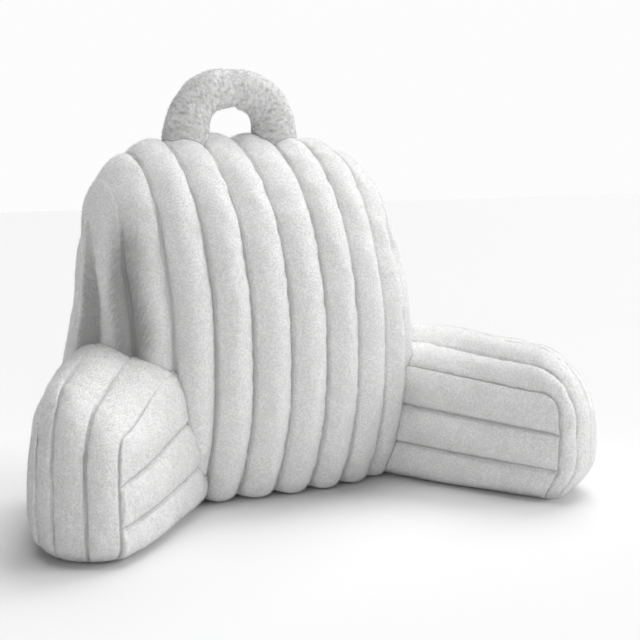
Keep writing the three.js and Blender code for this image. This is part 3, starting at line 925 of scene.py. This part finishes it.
def keep_largest(mesh):
    """Removes the crumbs that a cut leaves beside the main body."""
    count = len(mesh.vertices)
    edges = np.empty(len(mesh.edges) * 2, np.int32)
    mesh.edges.foreach_get("vertices", edges)
    edges = edges.reshape(-1, 2)
    label = np.arange(count)
    while True:
        low = np.minimum(label[edges[:, 0]], label[edges[:, 1]])
        before = label.copy()
        np.minimum.at(label, edges[:, 0], low)
        np.minimum.at(label, edges[:, 1], low)
        label = label[label]
        if np.array_equal(label, before):
            break
    names, sizes = np.unique(label, return_counts=True)
    if len(names) == 1:
        return
    main = names[np.argmax(sizes)]
    work = bmesh.new()
    work.from_mesh(mesh)
    work.verts.ensure_lookup_table()
    bmesh.ops.delete(work, geom=[work.verts[i] for i in np.flatnonzero(label != main)], context="VERTS")
    work.to_mesh(mesh)
    work.free()


def dress(piece, node):
    piece.data.materials.clear()
    piece.data.materials.append(plush_material("plush_cloth", settings_of("cushion_pile")))
    piece.data.polygons.foreach_set("use_smooth", [True] * len(piece.data.polygons))
    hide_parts(node)
    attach(piece, "root")


def plush_material(name, pile, seams=True):
    """Short plush: soft sheen, pressed patches, fine pile bump, painted shade in the seams, and painted
    shade in hollows and on sides turned from the light.
    """
    material = bpy.data.materials.get(name)
    if material:
        return material
    material = bpy.data.materials.new(name)
    material.use_nodes = True
    nodes, links = material.node_tree.nodes, material.node_tree.links
    shader = nodes["Principled BSDF"]
    for key, value in PLUSH.items():
        shader.inputs[key].default_value = value
    place = nodes.new("ShaderNodeTexCoord")

    def noise(scale, detail, rough, distortion=0.0):
        node = nodes.new("ShaderNodeTexNoise")
        node.inputs["Scale"].default_value = scale
        node.inputs["Detail"].default_value = detail
        node.inputs["Roughness"].default_value = rough
        node.inputs["Distortion"].default_value = distortion
        links.new(place.outputs["Object"], node.inputs["Vector"])
        return node

    def ramp(source, low, high, dark, light):
        node = nodes.new("ShaderNodeMapRange")
        node.interpolation_type = "SMOOTHSTEP"
        for key, value in (("From Min", low), ("From Max", high), ("To Min", dark), ("To Max", light)):
            node.inputs[key].default_value = value
        links.new(source, node.inputs["Value"])
        return node.outputs["Result"]

    def blend(factor, a, b):
        node = nodes.new("ShaderNodeMix")
        node.data_type = "RGBA"
        links.new(factor, node.inputs["Factor"])
        for socket, value in ((node.inputs[6], a), (node.inputs[7], b)):
            if isinstance(value, tuple):
                socket.default_value = (*value, 1)
            else:
                links.new(value, socket)
        return node.outputs[2]

    patches = noise(PATCH_NOISE, 3, 0.55, 1.4)
    tufts = noise(TUFT_NOISE, 3, 0.6)
    fibres = noise(FIBRE_NOISE, 2, 0.5)
    pressed = ramp(patches.outputs["Fac"], *PRESSED, 0, PRESSED_MOST)
    tips = blend(pressed, tuple(pile.colour), tuple(pile.shade))
    speck = ramp(tufts.outputs["Fac"], *SPECK, 1, 0)
    flecked = blend(speck, tips, tuple(pile.shade))
    colour = flecked
    if seams:
        # Painted shade along the seams
        seam = nodes.new("ShaderNodeAttribute")
        seam.attribute_name = "seam"
        painted_seam_shade = ramp(seam.outputs["Fac"], 0.0, SEAM_SHADE, 1, 0)
        colour = blend(painted_seam_shade, flecked, tuple(pile.groove))
    # Painted shade in hollows and on sides turned from the light
    nap = nodes.new("ShaderNodeAttribute")
    nap.attribute_name = "nap"
    away = ramp(nap.outputs["Fac"], 0, 1, 0, HOLLOW_MOST)
    colour = blend(away, colour, tuple(pile.hollow))
    links.new(colour, shader.inputs["Base Color"])
    total = nodes.new("ShaderNodeMath")
    total.operation = "MULTIPLY_ADD"
    links.new(fibres.outputs["Fac"], total.inputs[0])
    total.inputs[1].default_value = 0.5
    links.new(tufts.outputs["Fac"], total.inputs[2])
    bump = nodes.new("ShaderNodeBump")
    bump.inputs["Strength"].default_value = 0.7
    bump.inputs["Distance"].default_value = 0.0016
    links.new(total.outputs["Value"], bump.inputs["Height"])
    links.new(bump.outputs["Normal"], shader.inputs["Normal"])
    return material


def settings_of(name):
    """The sizes that the panel shows under a name."""
    return getattr(bpy.context.scene, name)


class CUSHION_OT_backrest(bpy.types.Operator):
    """Makes the backrest with its ten channels"""

    bl_idname = "cushion.backrest"
    bl_label = "Backrest"

    def execute(self, context):
        shape = settings_of("cushion_shape")
        points, lifts, pins, quads, values = backrest_grid(shape)
        puffed = placed_in_part(lifted(points, lifts, quads))
        piece = new_mesh("backrest_filled", puffed, quads, values)
        filled(piece, pins, shape)
        subdivided(piece)
        finished_surface(piece, shape, SEEDS["backrest"])
        dress(piece, "backrest")
        return {"FINISHED"}


class CUSHION_OT_arms(bpy.types.Operator):
    """Makes both arms and fits them against the backrest"""

    bl_idname = "cushion.arms"
    bl_label = "Arms"

    def execute(self, context):
        shape = settings_of("cushion_shape")
        neighbour = bpy.data.objects["backrest_filled"]
        for name, pose in ARM_POSES.items():
            points, lifts, pins, quads, values = arm_grid(shape, pose)
            puffed = placed_in_part(turned_arm(lifted(points, lifts, quads), pose))
            if pose["side"] < 0:
                quads = quads[:, ::-1]
            piece = new_mesh(name + "_filled", puffed, quads, values)
            filled(piece, pins, shape)
            subdivided(piece)
            finished_surface(piece, shape, SEEDS[name])
            cut_away(piece, neighbour, shape.gap)
            dress(piece, name)
        return {"FINISHED"}


def handle_mesh(sizes):
    """A closed arched tube with its point values."""
    t = np.linspace(0, 1, HANDLE_STEPS + 1)
    swing = math.pi * (1 - t)
    foot = np.abs(2 * t - 1) ** 3
    pinch = 1 - HANDLE_PINCH["depth"] * bell(t, HANDLE_PINCH["at"], HANDLE_PINCH["width"])
    radius = mix(sizes.radius_top, sizes.radius_foot, foot) / MM * pinch
    rise = HANDLE_TOP_HEIGHT - HANDLE_FOOT_HEIGHT
    cos, sin = np.cos(swing), np.clip(np.sin(swing), 0, 1)
    centre = np.stack([HANDLE_HALF_SPAN * np.sign(cos) * np.abs(cos) ** ARCH_ACROSS_CURVE,
                       np.full_like(t, HANDLE_DEPTH),
                       HANDLE_FOOT_HEIGHT + rise * sin ** ARCH_HEIGHT_CURVE], axis=-1)
    angle = np.arange(HANDLE_SIDES) * 2 * math.pi / HANDLE_SIDES
    inside = smooth(-np.cos(angle) * HANDLE_TUCK["steepness"] + HANDLE_TUCK["spread"])
    tuck = bell(t, HANDLE_TUCK["at"], HANDLE_TUCK["width"])[:, None] * inside[None]
    radius = radius[:, None] * (1 - HANDLE_TUCK["depth"] * tuck)
    outward = np.stack([cos, 0 * cos, np.sin(swing)], axis=-1)
    points = (centre[:, None] + outward[:, None] * (radius * np.cos(angle))[..., None]
              + np.array([0, 1, 0]) * (radius * sizes.thickness * np.sin(angle))[..., None])
    ids = np.arange((HANDLE_STEPS + 1) * HANDLE_SIDES).reshape(HANDLE_STEPS + 1, HANDLE_SIDES)
    ring = np.concatenate([ids, ids[:, :1]], axis=1)
    quads = np.stack([ring[:-1, :-1], ring[1:, :-1], ring[1:, 1:], ring[:-1, 1:]], axis=-1).reshape(-1, 4)
    faces = [tuple(q) for q in quads.tolist()]
    faces += [tuple(ids[0].tolist()), tuple(ids[-1][::-1].tolist())]
    mesh = bpy.data.meshes.new("handle_filled")
    mesh.from_pydata(placed_in_part(points.reshape(-1, 3)).tolist(), [], faces)
    # Painted shade over the handle, mottled at random and less over the top
    mottled = HANDLE_SHADE["mottle"] * ripple(read_points(mesh), HANDLE_SHADE["scale"], HANDLE_SHADE["seed"])
    nap = HANDLE_SHADE["mean"] + mottled - HANDLE_SHADE["top"] * np.repeat(np.sin(swing), HANDLE_SIDES)
    far = np.full(len(mesh.vertices), HANDLE_SEAM_DISTANCE)
    for key, value in (("seam", far), ("nap", np.clip(nap, *HANDLE_SHADE_LIMITS))):
        mesh.attributes.new(key, "FLOAT", "POINT").data.foreach_set("value", value.astype(np.float32))
    return mesh


class CUSHION_OT_handle(bpy.types.Operator):
    """Makes the arched carry handle"""

    bl_idname = "cushion.handle"
    bl_label = "Handle"

    def execute(self, context):
        shape = settings_of("cushion_shape")
        piece = bpy.data.objects.new("handle_filled", handle_mesh(settings_of("cushion_handle")))
        context.scene.collection.objects.link(piece)
        subdivided(piece)
        finished_surface(piece, shape, SEEDS["handle"])
        cut_away(piece, bpy.data.objects["backrest_filled"], shape.gap)
        dress(piece, "handle")
        return {"FINISHED"}


def pile_tree(pile):
    """Stands short leaning tufts on a surface, in patches that lie different ways."""
    tree = bpy.data.node_groups.new("plush_pile", "GeometryNodeTree")
    tree.interface.new_socket("Surface", in_out="INPUT", socket_type="NodeSocketGeometry")
    for name, kind, value in (
            ("Density", "NodeSocketFloat", pile.density), ("Length", "NodeSocketFloat", pile.length),
            ("Width", "NodeSocketFloat", pile.width), ("Lean", "NodeSocketFloat", pile.lean),
            ("Patch Size", "NodeSocketFloat", pile.patch), ("Seed", "NodeSocketInt", pile.seed)):
        tree.interface.new_socket(name, in_out="INPUT", socket_type=kind).default_value = value
    tree.interface.new_socket("Material", in_out="INPUT", socket_type="NodeSocketMaterial")
    tree.interface.new_socket("Pile", in_out="OUTPUT", socket_type="NodeSocketGeometry")
    nodes, links = tree.nodes, tree.links
    start, end = nodes.new("NodeGroupInput"), nodes.new("NodeGroupOutput")

    def made(kind, **settings):
        node = nodes.new(kind)
        for key, value in settings.items():
            setattr(node, key, value)
        return node

    def vector(operation, a, b=None):
        node = made("ShaderNodeVectorMath", operation=operation)
        for socket, value in zip(node.inputs, (a, b)):
            if value is None:
                continue
            if isinstance(value, tuple):
                socket.default_value = value
            else:
                links.new(value, socket)
        return node.outputs["Value" if operation == "DOT_PRODUCT" else "Vector"]

    def scaled(value, factor):
        node = made("ShaderNodeVectorMath", operation="SCALE")
        links.new(value, node.inputs[0])
        if isinstance(factor, float):
            node.inputs["Scale"].default_value = factor
        else:
            links.new(factor, node.inputs["Scale"])
        return node.outputs["Vector"]

    mask = made("GeometryNodeInputNamedAttribute", data_type="FLOAT")
    mask.inputs["Name"].default_value = "pile"
    amount = made("ShaderNodeMath", operation="MULTIPLY")
    links.new(mask.outputs["Attribute"], amount.inputs[0])
    links.new(start.outputs["Density"], amount.inputs[1])
    spread = made("GeometryNodeDistributePointsOnFaces", distribute_method="RANDOM")
    links.new(start.outputs["Surface"], spread.inputs["Mesh"])
    links.new(amount.outputs["Value"], spread.inputs["Density"])
    links.new(start.outputs["Seed"], spread.inputs["Seed"])
    normal = spread.outputs["Normal"]
    along_normal = scaled(normal, vector("DOT_PRODUCT", normal, PILE_LIE))
    along_lie = vector("SUBTRACT", PILE_LIE, along_normal)
    place = made("GeometryNodeInputPosition")
    patch = made("ShaderNodeTexNoise")
    patch.inputs["Detail"].default_value = 2
    patch.inputs["Distortion"].default_value = PATCH_DISTORTION
    links.new(start.outputs["Patch Size"], patch.inputs["Scale"])
    links.new(place.outputs["Position"], patch.inputs["Vector"])
    swirl = scaled(vector("SUBTRACT", patch.outputs["Color"], (0.5, 0.5, 0.5)), PILE_SWIRL)
    stray = made("FunctionNodeRandomValue", data_type="FLOAT_VECTOR")
    stray.inputs["Min"].default_value = (-TUFT_STRAY,) * 3
    stray.inputs["Max"].default_value = (TUFT_STRAY,) * 3
    links.new(start.outputs["Seed"], stray.inputs["Seed"])
    way = vector("ADD", vector("ADD", normal, scaled(along_lie, start.outputs["Lean"])),
                 vector("ADD", swirl, stray.outputs["Value"]))
    aim = made("FunctionNodeAlignRotationToVector", axis="Z")
    links.new(way, aim.inputs["Vector"])
    tuft = made("GeometryNodeMeshCone", fill_type="NGON")
    tuft.inputs["Vertices"].default_value = 3
    tuft.inputs["Radius Top"].default_value = 0
    links.new(start.outputs["Width"], tuft.inputs["Radius Bottom"])
    links.new(start.outputs["Length"], tuft.inputs["Depth"])
    size = made("FunctionNodeRandomValue", data_type="FLOAT")
    size.inputs[2].default_value, size.inputs[3].default_value = TUFT_SIZES
    links.new(start.outputs["Seed"], size.inputs["Seed"])
    stand = made("GeometryNodeInstanceOnPoints")
    links.new(spread.outputs["Points"], stand.inputs["Points"])
    links.new(tuft.outputs["Mesh"], stand.inputs["Instance"])
    links.new(aim.outputs["Rotation"], stand.inputs["Rotation"])
    links.new(size.outputs[1], stand.inputs["Scale"])
    whole = made("GeometryNodeRealizeInstances")
    links.new(stand.outputs["Instances"], whole.inputs["Geometry"])
    finish = made("GeometryNodeSetMaterial")
    links.new(whole.outputs["Geometry"], finish.inputs["Geometry"])
    links.new(start.outputs["Material"], finish.inputs["Material"])
    links.new(finish.outputs["Geometry"], end.inputs["Pile"])
    return tree


def pile_on(surface, name, tree, material, mask, number):
    """One piece of pile over the masked part of a finished surface."""
    carrier = bpy.data.objects.new(name, surface.data.copy())
    bpy.context.scene.collection.objects.link(carrier)
    values = carrier.data.attributes.new("pile", "FLOAT", "POINT")
    values.data.foreach_set("value", mask.astype(np.float32))
    grown = carrier.modifiers.new("pile", "NODES")
    grown.node_group = tree
    sockets = {item.name: item.identifier for item in tree.interface.items_tree}
    grown[sockets["Material"]] = material
    grown[sockets["Seed"]] = settings_of("cushion_pile").seed + number
    mesh = evaluated_mesh(carrier, name)
    carrier.modifiers.remove(grown)
    old = carrier.data
    carrier.data = mesh
    bpy.data.meshes.remove(old)
    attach(carrier, "root")
    return carrier


def near_other(points, others, reach):
    """How far each point is from the other pieces, as a share of the reach."""
    share = np.ones(len(points))
    for other in others:
        tree = surface_tree(other)
        for number, point in enumerate(points):
            found = tree.find_nearest(point, reach)
            if found[0] is not None:
                share[number] = min(share[number], found[3] / reach)
    return share


class CUSHION_OT_pile(bpy.types.Operator):
    """Grows the short pile on every piece"""

    bl_idname = "cushion.pile"
    bl_label = "Pile"

    def execute(self, context):
        pile = settings_of("cushion_pile")
        tree = pile_tree(pile)
        material = plush_material("plush_tufts", pile, seams=False)
        names = ["backrest_filled", "arm_left_filled", "arm_right_filled", "handle_filled"]
        pieces = {name: bpy.data.objects[name] for name in names}
        number = 0
        for name, piece in pieces.items():
            points = read_points(piece.data)
            way = read_value(piece.data, "seam") * MM
            reach = pile.length * PILE_REACH
            others = [pieces[other] for other in names if other != name
                      and "backrest_filled" in (name, other)]
            clear = near_other(points, others, reach)
            mask = ((clear > PILE_CLEARANCE) * rising(points[:, 2], *PILE_FROM_FLOOR)
                    * rising(way, *PILE_FROM_SEAM))
            parts = [mask]
            if name == "backrest_filled":
                front = points[:, 1] < PILE_FRONT
                left = points[:, 0] < 0
                parts = [mask * front, mask * ~front * left, mask * ~front * ~left]
            for part in parts:
                label = name.replace("filled", "pile") + ("" if len(parts) == 1 else "_" + str(number + 1))
                pile_on(piece, label, tree, material, part, number)
                number += 1
        return {"FINISHED"}


class CUSHION_OT_stage(bpy.types.Operator):
    """Makes the floor, the studio light and the camera"""

    bl_idname = "cushion.stage"
    bl_label = "Stage"

    def execute(self, context):
        scene = context.scene
        sizes = settings_of("cushion_stage")
        floor_mesh = bpy.data.meshes.new("floor")
        reach = FLOOR_REACH
        corners = [(-reach, -reach, 0), (reach, -reach, 0), (reach, reach, 0), (-reach, reach, 0)]
        floor_mesh.from_pydata(corners, [], [(0, 1, 2, 3)])
        floor = bpy.data.objects.new("floor", floor_mesh)
        scene.collection.objects.link(floor)
        paper = bpy.data.materials.new("floor_paper")
        paper.use_nodes = True
        shader = paper.node_tree.nodes["Principled BSDF"]
        shader.inputs["Base Color"].default_value = (*sizes.floor, 1)
        shader.inputs["Roughness"].default_value = 0.8
        shader.inputs["Specular IOR Level"].default_value = 0.2
        floor_mesh.materials.append(paper)
        world = bpy.data.worlds.new("room")
        world.use_nodes = True
        nodes, links = world.node_tree.nodes, world.node_tree.links
        room = nodes["Background"]
        room.inputs["Color"].default_value = (1, 1, 1, 1)
        room.inputs["Strength"].default_value = ROOM_LIGHT
        backdrop = nodes.new("ShaderNodeBackground")
        backdrop.inputs["Color"].default_value = (1, 1, 1, 1)
        backdrop.inputs["Strength"].default_value = sizes.backdrop
        path = nodes.new("ShaderNodeLightPath")
        chosen = nodes.new("ShaderNodeMixShader")
        links.new(path.outputs["Is Camera Ray"], chosen.inputs["Fac"])
        links.new(room.outputs["Background"], chosen.inputs[1])
        links.new(backdrop.outputs["Background"], chosen.inputs[2])
        links.new(chosen.outputs["Shader"], nodes["World Output"].inputs["Surface"])
        scene.world = world
        for name, way in LIGHTS.items():
            light = bpy.data.lights.new(name, "SUN")
            light.energy = getattr(sizes, name)
            light.angle = sizes.softness
            lamp = bpy.data.objects.new(name, light)
            lamp.rotation_euler = Vector(way).to_track_quat("Z", "Y").to_euler()
            scene.collection.objects.link(lamp)
        lens = bpy.data.cameras.new("camera")
        lens.lens = CAMERA_LENS
        lens.sensor_width = 36
        lens.clip_end = 50
        camera = bpy.data.objects.new("camera", lens)
        right, up = Vector(CAMERA_RIGHT), Vector(CAMERA_UP)
        turned_right = right * math.cos(CAMERA_ROLL) - up * math.sin(CAMERA_ROLL)
        turned_up = up * math.cos(CAMERA_ROLL) + right * math.sin(CAMERA_ROLL)
        back = turned_right.cross(turned_up)
        axes = Matrix((turned_right, turned_up, back)).transposed().to_4x4()
        camera.matrix_world = Matrix.Translation(CAMERA_PLACE) @ axes
        scene.collection.objects.link(camera)
        scene.camera = camera
        scene.view_settings.view_transform = "Standard"
        return {"FINISHED"}


class CUSHION_PT_panel(bpy.types.Panel):
    """Lists the pieces of the cushion"""

    bl_idname = "CUSHION_PT_panel"
    bl_label = "Backrest Cushion"
    bl_space_type = "VIEW_3D"
    bl_region_type = "UI"
    bl_category = "Cushion"

    def draw(self, context):
        layout = self.layout
        for group in (context.scene.cushion_shape, context.scene.cushion_handle,
                      context.scene.cushion_pile, context.scene.cushion_stage):
            box = layout.box()
            for key in group.__annotations__:
                box.prop(group, key)
        for step in STEPS:
            layout.operator(step.bl_idname)


GROUPS = {
    "cushion_shape": CushionShape,
    "cushion_handle": CushionHandle,
    "cushion_pile": CushionPile,
    "cushion_stage": CushionStage,
}
STEPS = (CUSHION_OT_backrest, CUSHION_OT_arms, CUSHION_OT_handle, CUSHION_OT_pile, CUSHION_OT_stage)


def register():
    for group in GROUPS.values():
        bpy.utils.register_class(group)
    for step in STEPS:
        bpy.utils.register_class(step)
    bpy.utils.register_class(CUSHION_PT_panel)
    for name, group in GROUPS.items():
        setattr(bpy.types.Scene, name, PointerProperty(type=group))


def unregister():
    for name in GROUPS:
        delattr(bpy.types.Scene, name)
    bpy.utils.unregister_class(CUSHION_PT_panel)
    for step in reversed(STEPS):
        bpy.utils.unregister_class(step)
    for group in reversed(list(GROUPS.values())):
        bpy.utils.unregister_class(group)


def main():
    register()
    bpy.ops.cushion.backrest()
    bpy.ops.cushion.arms()
    bpy.ops.cushion.handle()
    bpy.ops.cushion.pile()
    bpy.ops.cushion.stage()
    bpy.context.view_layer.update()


if __name__ == "__main__":
    main()
